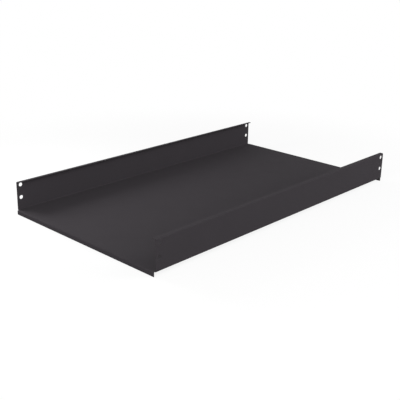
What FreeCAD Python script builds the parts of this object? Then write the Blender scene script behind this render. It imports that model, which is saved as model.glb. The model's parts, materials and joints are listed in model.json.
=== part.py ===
import FreeCAD, Part
import os

# Cantilever rack shelf: one steel sheet, cut flat, punched and folded.
# Each side is folded up into a wall, and the wall's top edge is folded in to make a stiffening flange.
# The front and rear edges of the deck are folded down into short lips.
# Two holes near each end of each wall take the screws that hold the shelf in its rack.
#
# Millimetres. +X runs across the shelf, +Y from the front lip to the rear lip, +Z up.
# The origin is midway across and along the shelf, at the height of the lips' lower edges.

# ---- Driving dimensions ----

shelf_width = 482.6      # outside of one wall to outside of the other
shelf_depth = 863.6      # face of the front lip to face of the rear lip
wall_height = 72.0       # underside of the deck to the top of the flange
flange_width = 9.6       # outside of the wall to the free edge of the flange
lip_drop = 9.5           # underside of the deck to the lower edge of a lip
sheet = 1.2              # thickness of the steel
bend_radius = 1.8        # inside radius of every fold
relief_gap = 0.25        # between the end of a wall and the start of the lip's fold
relief_diameter = 2.4    # punched where the fold lines meet, so that the corners don't tear
hole_diameter = 9.5      # screw holes in the walls
hole_pitch = 31.75       # between the two holes of a pair, one above the other
hole_drop = 9.5          # top of the flange to the centre of the upper hole
hole_setback = 11.0      # end of the wall to the centre of its holes

# ---- Sizes that follow from them ----

fold = bend_radius + sheet                        # outside radius of every fold
half_width = shelf_width / 2
half_depth = shelf_depth / 2
deck_flat_half_width = half_width - fold          # the lips are as long as the deck is flat
deck_flat_half_depth = half_depth - fold
wall_half_length = deck_flat_half_depth - relief_gap
deck_underside = lip_drop
wall_top = deck_underside + wall_height
hole_rows = (wall_top - hole_drop, wall_top - hole_drop - hole_pitch)

RIGHT = FreeCAD.Vector(1, 0, 0)
BACK = FreeCAD.Vector(0, 1, 0)
UP = FreeCAD.Vector(0, 0, 1)
BOTH_WAYS = (-1, 1)


def folded_line(start, ahead, inward, flats, depth):
    """Edges that follow a folded sheet, at a depth below its outer face.

    The line sets out from start, which is on the outer face, and heads ahead. The flats are joined by
    square folds that all turn inward. Gives the edges and the line's two ends.
    """
    radius = fold - depth
    first = start + inward * depth
    point = first
    edges = []
    for number, flat in enumerate(flats):
        if number > 0:
            centre = point + inward * radius
            middle = centre + (ahead - inward).normalize() * radius
            end = centre + ahead * radius
            edges.append(Part.Arc(point, middle, end).toShape())
            point = end
            ahead, inward = inward, -ahead
        end = point + ahead * flat
        edges.append(Part.LineSegment(point, end).toShape())
        point = end
    return edges, first, point


def folded_sheet(start, ahead, inward, flats, sweep):
    """Solid of a sheet folded along parallel lines: its section, drawn from start, swept along the folds."""
    outer_edges, outer_start, outer_end = folded_line(start, ahead, inward, flats, 0)
    inner_edges, inner_start, inner_end = folded_line(start, ahead, inward, flats, sheet)
    cut_edges = [
        Part.LineSegment(outer_start, inner_start).toShape(),
        Part.LineSegment(outer_end, inner_end).toShape(),
    ]
    outline = Part.Wire(Part.__sortEdges__(outer_edges + inner_edges + cut_edges))
    return Part.Face(outline).extrude(sweep)


def walls_and_deck():
    """Lipped channel: flange, wall, deck, wall and flange, seen from the front."""
    flange_flat = flange_width - fold
    wall_flat = wall_height - 2 * fold
    deck_flat = 2 * deck_flat_half_width
    start = FreeCAD.Vector(-half_width + flange_width, -wall_half_length, wall_top)
    return folded_sheet(
        start,
        -RIGHT,
        -UP,
        [flange_flat, wall_flat, deck_flat, wall_flat, flange_flat],
        BACK * (2 * wall_half_length),
    )


def lips_and_deck():
    """Shallow upturned channel: front lip, deck and rear lip, seen from the side."""
    lip_flat = lip_drop + sheet - fold
    deck_flat = 2 * deck_flat_half_depth
    start = FreeCAD.Vector(-deck_flat_half_width, -half_depth, 0)
    return folded_sheet(
        start,
        UP,
        BACK,
        [lip_flat, deck_flat, lip_flat],
        RIGHT * (2 * deck_flat_half_width),
    )


def wall_holes():
    """A pair of round screw holes near both ends of both walls."""
    holes = []
    for side in BOTH_WAYS:
        for end in BOTH_WAYS:
            for height in hole_rows:
                inside = FreeCAD.Vector(
                    side * (half_width - 2 * sheet),
                    end * (wall_half_length - hole_setback),
                    height,
                )
                holes.append(
                    Part.makeCylinder(hole_diameter / 2, 3 * sheet, inside, RIGHT * side)
                )
    return holes


def corner_reliefs():
    """A small round relief at each corner of the deck, where a wall's fold meets a lip's fold."""
    reliefs = []
    for side in BOTH_WAYS:
        for end in BOTH_WAYS:
            below = FreeCAD.Vector(
                side * deck_flat_half_width,
                end * deck_flat_half_depth,
                deck_underside - sheet,
            )
            reliefs.append(Part.makeCylinder(relief_diameter / 2, 3 * sheet, below, UP))
    return reliefs


def shelf_pan():
    """The whole shelf, one folded sheet."""
    folded = walls_and_deck().fuse(lips_and_deck()).removeSplitter()
    return folded.cut(wall_holes() + corner_reliefs())


os.makedirs("parts", exist_ok=True)
pan = shelf_pan().Solids[0]
pan.exportStep("parts/shelf_pan.step")
box = pan.BoundBox
print("shelf_pan", round(box.XLength, 3), round(box.YLength, 3), round(box.ZLength, 3), "mm")
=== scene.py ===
import json
import math

import bmesh
import bpy
from mathutils import Matrix, Vector


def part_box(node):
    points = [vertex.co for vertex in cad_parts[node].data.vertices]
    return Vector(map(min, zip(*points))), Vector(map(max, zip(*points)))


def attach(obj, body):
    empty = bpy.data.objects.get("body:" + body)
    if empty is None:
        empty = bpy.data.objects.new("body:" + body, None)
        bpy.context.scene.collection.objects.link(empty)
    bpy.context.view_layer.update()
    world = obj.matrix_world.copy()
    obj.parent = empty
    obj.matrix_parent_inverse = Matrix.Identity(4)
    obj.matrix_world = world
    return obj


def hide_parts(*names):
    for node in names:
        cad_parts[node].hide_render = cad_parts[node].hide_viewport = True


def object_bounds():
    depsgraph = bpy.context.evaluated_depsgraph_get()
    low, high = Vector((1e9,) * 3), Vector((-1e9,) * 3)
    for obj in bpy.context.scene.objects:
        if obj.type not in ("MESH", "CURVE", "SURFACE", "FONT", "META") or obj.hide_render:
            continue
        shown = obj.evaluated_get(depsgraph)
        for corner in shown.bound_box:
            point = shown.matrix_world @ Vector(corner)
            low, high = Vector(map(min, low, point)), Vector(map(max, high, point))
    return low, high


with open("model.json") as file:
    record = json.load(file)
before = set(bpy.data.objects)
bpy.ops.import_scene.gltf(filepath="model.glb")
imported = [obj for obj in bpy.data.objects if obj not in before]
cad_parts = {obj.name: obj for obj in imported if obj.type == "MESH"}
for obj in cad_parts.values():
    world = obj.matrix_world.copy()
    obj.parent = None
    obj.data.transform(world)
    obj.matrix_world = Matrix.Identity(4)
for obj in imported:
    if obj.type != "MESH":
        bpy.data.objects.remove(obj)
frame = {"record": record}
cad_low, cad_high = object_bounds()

# Looks of a cantilever rack shelf: one steel sheet, cut flat, folded and powder coated.
# The blank is drawn flat with its cut edges already eased, scored along its fold lines,
# and folded up by a node tree with the real sizes as inputs.
# Metres. +X runs across the shelf, +Y from the front lip to the rear lip, +Z up.

MM = 0.001
NODE = "shelf_pan"
BOX_MIDDLE = (cad_low + cad_high) / 2

# ---- Sizes of the folded sheet that its box doesn't tell ----

SHEET = 1.2 * MM             # thickness of the steel
BEND_RADIUS = 1.8 * MM       # inside radius of every fold
FLANGE_WIDTH = 9.6 * MM      # outside of the wall to the free edge of the flange
LIP_DROP = 9.5 * MM          # underside of the deck to the lower edge of a lip
RELIEF_GAP = 0.25 * MM       # between the end of a wall and the start of the lip's fold
RELIEF_RADIUS = 1.2 * MM     # of the round relief at each corner of the deck
EDGE_ROUNDING = 0.15 * MM    # of every cut edge, under its coat
NEUTRAL_LINE = 0.44          # depth of the unstretched layer in a fold, as a share of the sheet

# ---- How finely it is made ----

FOLD_STEPS = 8               # flats that stand for one fold
HOLE_STEPS = 64              # sides of a screw hole
RELIEF_STEPS = 24            # sides of a corner relief
EDGE_STEPS = 1               # extra lines along each eased edge
MERGE_DISTANCE = 0.002 * MM  # nearer points become one
SCORE_DISTANCE = MERGE_DISTANCE / 4     # nearer points count as on a score line

# ---- Coat ----

COAT_DARK = (0.0286, 0.0251, 0.0287, 1.0)      # black pigment, faintly violet
COAT_LIGHT = (0.0332, 0.0293, 0.0333, 1.0)     # the same where it lies a little thinner
COAT_TONE = {"Value": 0.5, "Drift": 0.4, "Patch Size": 0.12}       # between those two
COAT_ROUGHNESS = {"Value": 0.95, "Drift": 0.05, "Patch Size": 0.05}
COAT_GRAIN = {"Peel Size": 0.0022, "Grain Size": 0.0007, "Grain Share": 0.4}
COAT_RELIEF = {"Strength": 0.7, "Distance": 0.0002}                # of that grain
COAT_SPECULAR = 0.15

# ---- Camera ----

CAMERA_PLACE = Vector((1.1965, -1.3245, 0.6015))       # from the middle of the shelf's box
CAMERA_AZIMUTH = 43.178
CAMERA_ELEVATION = 18.217
CAMERA_ROLL = 0.990
CAMERA_LENS = 65.743
CAMERA_SENSOR = 36.0
CAMERA_SHIFT = (0.0, -0.0600)

# ---- Studio ----

AMBIENT = 0.24               # of the light from all round, where 1 is white
SOFTBOXES = {                # place, width and height, watts
    "front_softbox": ((0.80, -1.90, 1.10), (1.2, 1.0), 31.0),
    "right_softbox": ((1.90, -1.10, 0.45), (1.2, 0.5), 8.5),
    "side_softbox": ((1.90, 1.20, 0.60), (1.2, 0.6), 11.5),
    "rear_softbox": ((1.50, 1.20, 1.20), (1.2, 1.2), 25.0),
    "left_softbox": ((-0.60, -0.50, 0.38), (0.25, 0.25), 3.3),
    "fill_softbox": ((-1.70, -0.10, 0.62), (1.4, 0.8), 6.6),
}
FLOOR_HALF = 8.0             # half of the floor's width and depth
FLOOR_SEEN = 0.9             # colour of the floor as it is seen
FLOOR_BOUNCE = 0.4           # share of the light that it gives back to the shelf
FLOOR_WHITE_SHARE = 0.86     # plain white in what is seen of it near the shelf
FLOOR_NEAR = 0.55            # from here out the floor turns plain white
FLOOR_FAR = 1.1              # and from here out it is


# ---- Node tree helpers ----

class Field:
    """A value in a node tree that plain arithmetic works on, each step a Math node."""

    def __init__(self, tree, socket):
        self.tree = tree
        self.socket = socket

    def math(self, operation, *others):
        made = self.tree.nodes.new("ShaderNodeMath")
        made.operation = operation
        for socket, value in zip(made.inputs, (self, *others)):
            feed(self.tree, socket, value)
        return Field(self.tree, made.outputs[0])

    def __add__(self, other):
        return self.math("ADD", other)

    def __sub__(self, other):
        return self.math("SUBTRACT", other)

    def __mul__(self, other):
        return self.math("MULTIPLY", other)

    def __truediv__(self, other):
        return self.math("DIVIDE", other)


def feed(tree, socket, value):
    """Gives a socket a link when the value comes from the tree, and otherwise its plain value."""
    if isinstance(value, Field):
        value = value.socket
    if isinstance(value, bpy.types.NodeSocket):
        tree.links.new(value, socket)
    else:
        socket.default_value = value


def add_node(tree, kind, inputs=None, **settings):
    """Adds one node, with its settings and then its inputs, which are named or numbered."""
    made = tree.nodes.new(kind)
    for name, value in settings.items():
        setattr(made, name, value)
    for name, value in (inputs or {}).items():
        feed(tree, made.inputs[name], value)
    return made


def new_group(name, kind, inputs, outputs):
    """Starts a node group. Gives it with the sockets that its inputs and outputs have inside it.

    Inputs are (name, socket type, default), and outputs are (name, socket type).
    """
    group = bpy.data.node_groups.new(name, kind)
    for label, socket_type, default in inputs:
        socket = group.interface.new_socket(label, in_out="INPUT", socket_type=socket_type)
        if default is not None:
            socket.default_value = default
    for label, socket_type in outputs:
        group.interface.new_socket(label, in_out="OUTPUT", socket_type=socket_type)
    source = group.nodes.new("NodeGroupInput")
    result = group.nodes.new("NodeGroupOutput")
    return group, source.outputs, result.inputs


# ---- Folding ----

def square_fold_group(name, axis):
    """Node group that folds what lies beyond a line, on both sides of the middle, by 90 degrees.

    Folded Length is what the fold takes up of the flat sheet, Centre Height is the height of the
    fold's axis, and Up is 1 for a fold upwards and -1 for one downwards.
    """
    group, source, result = new_group(
        name,
        "GeometryNodeTree",
        [
            ("Geometry", "NodeSocketGeometry", None),
            ("Fold Line", "NodeSocketFloat", 0.0),
            ("Folded Length", "NodeSocketFloat", 1.0),
            ("Centre Height", "NodeSocketFloat", 0.0),
            ("Up", "NodeSocketFloat", 1.0),
        ],
        [("Geometry", "NodeSocketGeometry")],
    )
    position = add_node(group, "GeometryNodeInputPosition")
    parts = add_node(group, "ShaderNodeSeparateXYZ", {0: position.outputs[0]})
    place = {letter: Field(group, parts.outputs[letter]) for letter in "XYZ"}
    line = Field(group, source["Fold Line"])
    length = Field(group, source["Folded Length"])
    centre = Field(group, source["Centre Height"])
    up = Field(group, source["Up"])

    across = place[axis]
    beyond = across.math("ABSOLUTE") - line
    share = (beyond / length).math("MAXIMUM", 0.0).math("MINIMUM", 1.0)
    angle = share * (math.pi / 2)
    straight_on = (beyond - length).math("MAXIMUM", 0.0)
    radius = (centre - place["Z"]) * up
    distance = line + beyond.math("MINIMUM", 0.0) + radius * angle.math("SINE")
    folded = {
        **place,
        axis: distance * across.math("SIGN"),
        "Z": centre + (straight_on - radius * angle.math("COSINE")) * up,
    }
    joined = add_node(group, "ShaderNodeCombineXYZ", folded)
    moved = add_node(
        group,
        "GeometryNodeSetPosition",
        {"Geometry": source["Geometry"], "Position": joined.outputs[0]},
    )
    feed(group, result["Geometry"], moved.outputs[0])
    return group


def folded_sheet_tree():
    """Node tree that folds the flat blank.

    The flanges are folded first, then the walls with them, and then the lips.
    """
    fold_x = square_fold_group("square_fold_across", "X")
    fold_y = square_fold_group("square_fold_along", "Y")
    group, source, result = new_group(
        "folded_sheet",
        "GeometryNodeTree",
        [
            ("Blank", "NodeSocketGeometry", None),
            ("Wall Line", "NodeSocketFloat", 0.2),
            ("Flange Line", "NodeSocketFloat", 0.25),
            ("Lip Line", "NodeSocketFloat", 0.4),
            ("Underside Height", "NodeSocketFloat", 0.01),
            ("Sheet", "NodeSocketFloat", 0.001),
            ("Bend Radius", "NodeSocketFloat", 0.002),
            ("Folded Length", "NodeSocketFloat", 0.003),
            ("Coat", "NodeSocketMaterial", None),
        ],
        [("Folded", "NodeSocketGeometry")],
    )
    group.is_modifier = True
    outside = Field(group, source["Bend Radius"]) + source["Sheet"]
    underside = Field(group, source["Underside Height"])
    upward_centre = underside + outside
    downward_centre = underside + source["Sheet"] - outside
    folds = (
        (fold_x, "Flange Line", upward_centre, 1.0),
        (fold_x, "Wall Line", upward_centre, 1.0),
        (fold_y, "Lip Line", downward_centre, -1.0),
    )
    shape = source["Blank"]
    for fold, line, centre, up in folds:
        step = add_node(
            group,
            "GeometryNodeGroup",
            {
                "Geometry": shape,
                "Fold Line": source[line],
                "Folded Length": source["Folded Length"],
                "Centre Height": centre,
                "Up": up,
            },
            node_tree=fold,
        )
        shape = step.outputs[0]
    realized = add_node(group, "GeometryNodeRealizeInstances", {"Geometry": shape})
    smooth = add_node(group, "GeometryNodeSetShadeSmooth", {"Geometry": realized.outputs[0]})
    coated = add_node(
        group,
        "GeometryNodeSetMaterial",
        {"Geometry": smooth.outputs[0], "Material": source["Coat"]},
    )
    feed(group, result["Folded"], coated.outputs[0])
    return group


def set_modifier_input(modifier, name, value):
    """Sets a node modifier's input, which is known by its socket's identifier."""
    socket = modifier.node_group.interface.items_tree[name]
    modifier[socket.identifier] = value


def plain_mesh(made, name):
    """Mesh of an object as its modifiers leave it."""
    bpy.context.view_layer.update()
    graph = bpy.context.evaluated_depsgraph_get()
    mesh = bpy.data.meshes.new_from_object(
        made.evaluated_get(graph), preserve_all_data_layers=True, depsgraph=graph
    )
    mesh.name = name
    return mesh


def new_object(name, data):
    made = bpy.data.objects.new(name, data)
    bpy.context.scene.collection.objects.link(made)
    return made


# ---- The blank ----

def sheet_sizes():
    """Sizes of the blank and its folds, from the CAD node's box and the record's mounts."""
    low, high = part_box(NODE)
    outside = BEND_RADIUS + SHEET
    folded_length = math.pi / 2 * (BEND_RADIUS + NEUTRAL_LINE * SHEET)
    underside = low.z + LIP_DROP
    wall_flat = high.z - underside - 2 * outside
    wall_line = (high.x - low.x) / 2 - outside
    lip_line = (high.y - low.y) / 2 - outside
    flange_line = wall_line + folded_length + wall_flat
    hole_pairs = [
        mount for mount in frame["record"]["mounts"] if mount["kind"] == "bolt_pattern"
    ]
    holes = []
    for pair in hole_pairs:
        across, along, height = pair["pos_m"]
        pitch = pair["dims"]["spacing_y_mm"] * MM
        for rise in (-pitch / 2, pitch / 2):
            up_the_wall = height + rise - underside - outside
            holes.append((
                math.copysign(wall_line + folded_length + up_the_wall, across),
                along,
            ))
    return {
        "underside": underside,
        "folded_length": folded_length,
        "wall_line": wall_line,
        "flange_line": flange_line,
        "lip_line": lip_line,
        "wall_half_length": lip_line - RELIEF_GAP,
        "blank_half_width": flange_line + folded_length + FLANGE_WIDTH - outside,
        "blank_half_depth": lip_line + folded_length + LIP_DROP + SHEET - outside,
        "hole_radius": hole_pairs[0]["dims"]["hole_r_mm"] * MM,
        "holes": holes,
    }


def circle_points(centre, radius, steps):
    turn = 2 * math.pi / steps
    return [
        (centre[0] + radius * math.cos(k * turn), centre[1] + radius * math.sin(k * turn))
        for k in range(steps)
    ]


def relief_points(sizes):
    """Round relief at the corner of the deck, from the end of the wall to the end of the lip."""
    start = -math.asin(RELIEF_GAP / RELIEF_RADIUS)
    end = -1.5 * math.pi
    points = []
    for k in range(RELIEF_STEPS + 1):
        angle = start + (end - start) * k / RELIEF_STEPS
        points.append((
            sizes["wall_line"] + RELIEF_RADIUS * math.cos(angle),
            sizes["lip_line"] + RELIEF_RADIUS * math.sin(angle),
        ))
    return points


def blank_outline(sizes):
    """Outline of the flat blank, anticlockwise from above."""
    corner = [(sizes["blank_half_width"], sizes["wall_half_length"])]
    corner += relief_points(sizes)
    corner += [(sizes["wall_line"], sizes["blank_half_depth"])]
    outline = []
    for across, along in ((1, 1), (-1, 1), (-1, -1), (1, -1)):
        turned = [(across * x, along * y) for x, y in corner]
        outline += turned if across == along else turned[::-1]
    return outline


def flat_blank(sizes):
    """The blank as a plate with its holes and its eased edges, before any fold."""
    curve = bpy.data.curves.new("blank", "CURVE")
    curve.dimensions = "2D"
    curve.fill_mode = "BOTH"
    curve.extrude = SHEET / 2 - EDGE_ROUNDING
    curve.bevel_depth = EDGE_ROUNDING
    curve.bevel_resolution = EDGE_STEPS
    curve.offset = -EDGE_ROUNDING
    loops = [blank_outline(sizes)]
    loops += [circle_points(hole, sizes["hole_radius"], HOLE_STEPS) for hole in sizes["holes"]]
    for loop in loops:
        spline = curve.splines.new("POLY")
        spline.points.add(len(loop) - 1)
        for point, (x, y) in zip(spline.points, loop):
            point.co = (x, y, 0, 1)
        spline.use_cyclic_u = True
    drawn = new_object("blank", curve)
    mesh = plain_mesh(drawn, "blank")
    bpy.data.objects.remove(drawn)
    bpy.data.curves.remove(curve)
    return mesh


def score_lines(sizes):
    """Where the flat blank is divided, so that each fold comes out round.

    Each line is a point on it and the direction square to it.
    """
    across, along = Vector((1, 0, 0)), Vector((0, 1, 0))
    lines = []
    for side in (-1, 1):
        for k in range(FOLD_STEPS + 1):
            step = sizes["folded_length"] * k / FOLD_STEPS
            lines += [
                (side * (sizes["wall_line"] + step) * across, across),
                (side * (sizes["flange_line"] + step) * across, across),
                (side * (sizes["lip_line"] + step) * along, along),
            ]
    return lines


def scored_blank(sizes):
    """The flat blank at the height of the deck, divided along its fold lines."""
    mesh = flat_blank(sizes)
    plate = bmesh.new()
    plate.from_mesh(mesh)
    bmesh.ops.remove_doubles(plate, verts=plate.verts, dist=MERGE_DISTANCE)
    for point, direction in score_lines(sizes):
        bmesh.ops.bisect_plane(
            plate,
            geom=plate.verts[:] + plate.edges[:] + plate.faces[:],
            dist=SCORE_DISTANCE,
            plane_co=point,
            plane_no=direction,
        )
    bmesh.ops.remove_doubles(plate, verts=plate.verts, dist=MERGE_DISTANCE)
    bmesh.ops.recalc_face_normals(plate, faces=plate.faces)
    middle = sizes["underside"] + SHEET / 2
    bmesh.ops.translate(plate, verts=plate.verts, vec=(0, 0, middle))
    plate.to_mesh(mesh)
    plate.free()
    return mesh


def folded_pan(coat):
    """The whole shelf: the scored blank, folded by the node tree and shaded evenly.

    The weighted normals keep the flats even where they meet a round fold.
    """
    sizes = sheet_sizes()
    pan = new_object("folded_pan", scored_blank(sizes))
    folding = pan.modifiers.new("folded_sheet", "NODES")
    folding.node_group = folded_sheet_tree()
    values = {
        "Wall Line": sizes["wall_line"],
        "Flange Line": sizes["flange_line"],
        "Lip Line": sizes["lip_line"],
        "Underside Height": sizes["underside"],
        "Sheet": SHEET,
        "Bend Radius": BEND_RADIUS,
        "Folded Length": sizes["folded_length"],
        "Coat": coat,
    }
    for name, value in values.items():
        set_modifier_input(folding, name, value)
    pan.modifiers.new("even_flats", "WEIGHTED_NORMAL")
    finished = plain_mesh(pan, "folded_pan")
    pan.modifiers.clear()
    pan.data = finished
    return pan


# ---- Finishes ----

def grey(level):
    return (level, level, level, 1.0)


def new_material(name):
    material = bpy.data.materials.new(name)
    material.use_nodes = True
    material.node_tree.nodes.clear()
    return material, material.node_tree


def object_noise_scale(group, size):
    """Scale of a noise on Object coordinates, from the size of its marks."""
    return Field(group, size).math("POWER", -1.0)


def patchy_value_group():
    """Node group for a value that drifts slowly over the surface."""
    group, source, result = new_group(
        "patchy_value",
        "ShaderNodeTree",
        [
            ("Value", "NodeSocketFloat", 0.5),
            ("Drift", "NodeSocketFloat", 0.1),
            ("Patch Size", "NodeSocketFloat", 0.1),
        ],
        [("Value", "NodeSocketFloat")],
    )
    place = add_node(group, "ShaderNodeTexCoord")
    noise = add_node(
        group,
        "ShaderNodeTexNoise",
        {
            "Vector": place.outputs["Object"],
            "Scale": object_noise_scale(group, source["Patch Size"]),
            "Detail": 2.0,
            "Roughness": 0.5,
        },
    )
    swing = (Field(group, noise.outputs["Fac"]) - 0.5) * 2.0 * source["Drift"]
    feed(group, result["Value"], swing * source["Value"] + source["Value"])
    return group


def coat_grain_group():
    """Node group for the height of a sprayed and baked powder.

    It is a soft orange peel with finer grains on it.
    """
    group, source, result = new_group(
        "coat_grain",
        "ShaderNodeTree",
        [
            ("Peel Size", "NodeSocketFloat", 0.002),
            ("Grain Size", "NodeSocketFloat", 0.0006),
            ("Grain Share", "NodeSocketFloat", 0.4),
        ],
        [("Height", "NodeSocketFloat")],
    )
    place = add_node(group, "ShaderNodeTexCoord")
    peel = add_node(
        group,
        "ShaderNodeTexNoise",
        {
            "Vector": place.outputs["Object"],
            "Scale": object_noise_scale(group, source["Peel Size"]),
            "Detail": 1.0,
        },
    )
    grain = add_node(
        group,
        "ShaderNodeTexVoronoi",
        {
            "Vector": place.outputs["Object"],
            "Scale": object_noise_scale(group, source["Grain Size"]),
        },
        feature="SMOOTH_F1",
    )
    share = Field(group, source["Grain Share"])
    smooth_part = Field(group, peel.outputs["Fac"]) * (share * -1.0 + 1.0)
    feed(group, result["Height"], smooth_part + share * grain.outputs["Distance"])
    return group


def black_powder_coat():
    """Matt black powder coat on steel, with the faint violet of its pigment."""
    material, tree = new_material("black_powder_coat")
    patchy = patchy_value_group()
    tone = add_node(tree, "ShaderNodeGroup", COAT_TONE, node_tree=patchy)
    roughness = add_node(tree, "ShaderNodeGroup", COAT_ROUGHNESS, node_tree=patchy)
    grain = add_node(tree, "ShaderNodeGroup", COAT_GRAIN, node_tree=coat_grain_group())
    colour = add_node(
        tree,
        "ShaderNodeMix",
        {"Factor": tone.outputs["Value"], "A": COAT_DARK, "B": COAT_LIGHT},
        data_type="RGBA",
    )
    bump = add_node(tree, "ShaderNodeBump", {"Height": grain.outputs["Height"], **COAT_RELIEF})
    surface = add_node(
        tree,
        "ShaderNodeBsdfPrincipled",
        {
            "Base Color": colour.outputs["Result"],
            "Roughness": roughness.outputs["Value"],
            "Specular IOR Level": COAT_SPECULAR,
            "Normal": bump.outputs["Normal"],
        },
    )
    add_node(tree, "ShaderNodeOutputMaterial", {"Surface": surface.outputs["BSDF"]})
    return material


def seen_directly(tree):
    """1 for what the camera sees, straight or in a reflection or through glass, else 0."""
    rays = add_node(tree, "ShaderNodeLightPath")
    seen = Field(tree, rays.outputs["Is Camera Ray"])
    seen = seen.math("MAXIMUM", rays.outputs["Is Glossy Ray"])
    return seen.math("MAXIMUM", rays.outputs["Is Transmission Ray"])


def studio_floor():
    """White floor that keeps the shelf's shadow and runs out into plain white further off.

    What is seen of it is mostly plain white, and the rest is lit. It gives back little light.
    """
    material, tree = new_material("studio_floor")
    seen = seen_directly(tree)
    place = add_node(tree, "ShaderNodeTexCoord")
    distance = add_node(
        tree, "ShaderNodeVectorMath", {0: place.outputs["Object"]}, operation="LENGTH"
    )
    plain = add_node(
        tree,
        "ShaderNodeMapRange",
        {
            "Value": distance.outputs["Value"],
            "From Min": FLOOR_NEAR,
            "From Max": FLOOR_FAR,
            "To Min": FLOOR_WHITE_SHARE,
            "To Max": 1.0,
        },
        interpolation_type="SMOOTHSTEP",
    )
    colour = add_node(
        tree,
        "ShaderNodeMix",
        {"Factor": seen, "A": grey(FLOOR_BOUNCE), "B": grey(FLOOR_SEEN)},
        data_type="RGBA",
    )
    lit = add_node(tree, "ShaderNodeBsdfDiffuse", {"Color": colour.outputs["Result"]})
    white = add_node(tree, "ShaderNodeEmission", {"Color": grey(1.0), "Strength": 1.0})
    share = seen * plain.outputs["Result"]
    mixed = add_node(
        tree, "ShaderNodeMixShader", {0: share, 1: lit.outputs[0], 2: white.outputs[0]}
    )
    add_node(tree, "ShaderNodeOutputMaterial", {"Surface": mixed.outputs[0]})
    return material


# ---- Studio ----

def make_floor():
    mesh = bpy.data.meshes.new("floor")
    corners = [
        (x * FLOOR_HALF, y * FLOOR_HALF, 0) for x, y in ((-1, -1), (1, -1), (1, 1), (-1, 1))
    ]
    mesh.from_pydata(corners, [], [(0, 1, 2, 3)])
    mesh.materials.append(studio_floor())
    new_object("floor", mesh)


def make_world():
    """A little even light from all round, and plain white for what is seen directly."""
    world = bpy.data.worlds.new("studio")
    world.use_nodes = True
    bpy.context.scene.world = world
    tree = world.node_tree
    tree.nodes.clear()
    strength = seen_directly(tree) * (1.0 - AMBIENT) + AMBIENT
    background = add_node(
        tree, "ShaderNodeBackground", {"Color": grey(1.0), "Strength": strength}
    )
    add_node(tree, "ShaderNodeOutputWorld", {"Surface": background.outputs[0]})


def make_softboxes():
    for name, (place, size, power) in SOFTBOXES.items():
        lamp = bpy.data.lights.new(name, "AREA")
        lamp.shape = "RECTANGLE"
        lamp.size, lamp.size_y = size
        lamp.energy = power
        softbox = new_object(name, lamp)
        softbox.location = place
        facing = Vector(place) - BOX_MIDDLE
        softbox.rotation_euler = facing.to_track_quat("Z", "Y").to_euler()
        softbox.visible_camera = False


def make_camera():
    azimuth, elevation, roll = (
        math.radians(a) for a in (CAMERA_AZIMUTH, CAMERA_ELEVATION, CAMERA_ROLL)
    )
    back = Vector((
        math.sin(azimuth) * math.cos(elevation),
        -math.cos(azimuth) * math.cos(elevation),
        math.sin(elevation),
    ))
    right = (-back).cross(Vector((0, 0, 1))).normalized()
    up = right.cross(-back)
    tilted_right = math.cos(roll) * right + math.sin(roll) * up
    tilted_up = math.cos(roll) * up - math.sin(roll) * right
    data = bpy.data.cameras.new("camera")
    data.sensor_width = CAMERA_SENSOR
    data.lens = CAMERA_LENS
    data.shift_x, data.shift_y = CAMERA_SHIFT
    camera = new_object("camera", data)
    turn = Matrix((tilted_right, tilted_up, back)).transposed().to_4x4()
    camera.matrix_world = Matrix.Translation(BOX_MIDDLE + CAMERA_PLACE) @ turn
    bpy.context.scene.camera = camera


pan = folded_pan(black_powder_coat())
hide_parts(NODE)
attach(pan, "root")
make_floor()
make_world()
make_softboxes()
make_camera()
bpy.context.scene.view_settings.view_transform = "Standard"
